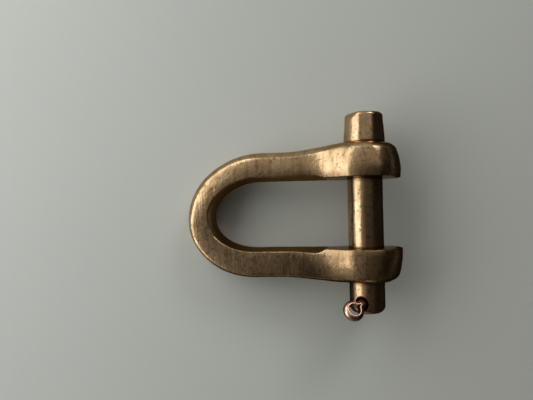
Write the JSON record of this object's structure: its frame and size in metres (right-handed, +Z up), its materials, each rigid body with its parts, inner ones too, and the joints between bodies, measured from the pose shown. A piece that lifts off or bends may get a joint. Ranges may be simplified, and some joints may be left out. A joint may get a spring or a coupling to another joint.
{
  "type": "long d-shackle",
  "caption": "Cast bronze long D-shackle with a headed clevis pin through its round ears, held by a split pin.",
  "frame": {"origin": "on the clevis pin's axis, midway between the ears", "axes": "+Y along the clevis pin towards its head, the bow towards -X, +Z up from the table the shackle lies on; the body leans 6.8 degrees about the pin's axis so that ears and bow both touch the table"},
  "size_m": [0.0793, 0.074, 0.0264],
  "materials": {
    "cast_bronze": "cast bronze, ground and worn smooth, warm brown",
    "turned_bronze": "turned bronze, worn satin",
    "copper_wire": "bright coppery half-round wire"
  },
  "bodies": {
    "shackle_body": {"shackle_body": "cast_bronze"},
    "clevis_pin": {"clevis_pin": "turned_bronze"},
    "split_pin": {"split_pin": "copper_wire"}
  },
  "joints": [
    {"name": "pin_turn", "type": "hinge", "parent": "shackle_body", "child": "clevis_pin", "pos_m": [0, 0, 0], "axis": [0, 1, 0], "continuous": true},
    {"name": "split_pin_pull", "type": "slide", "parent": "clevis_pin", "child": "split_pin", "axis": [-0.5, 0, 0.866], "range_m": [0, 0.022]}
  ]
}
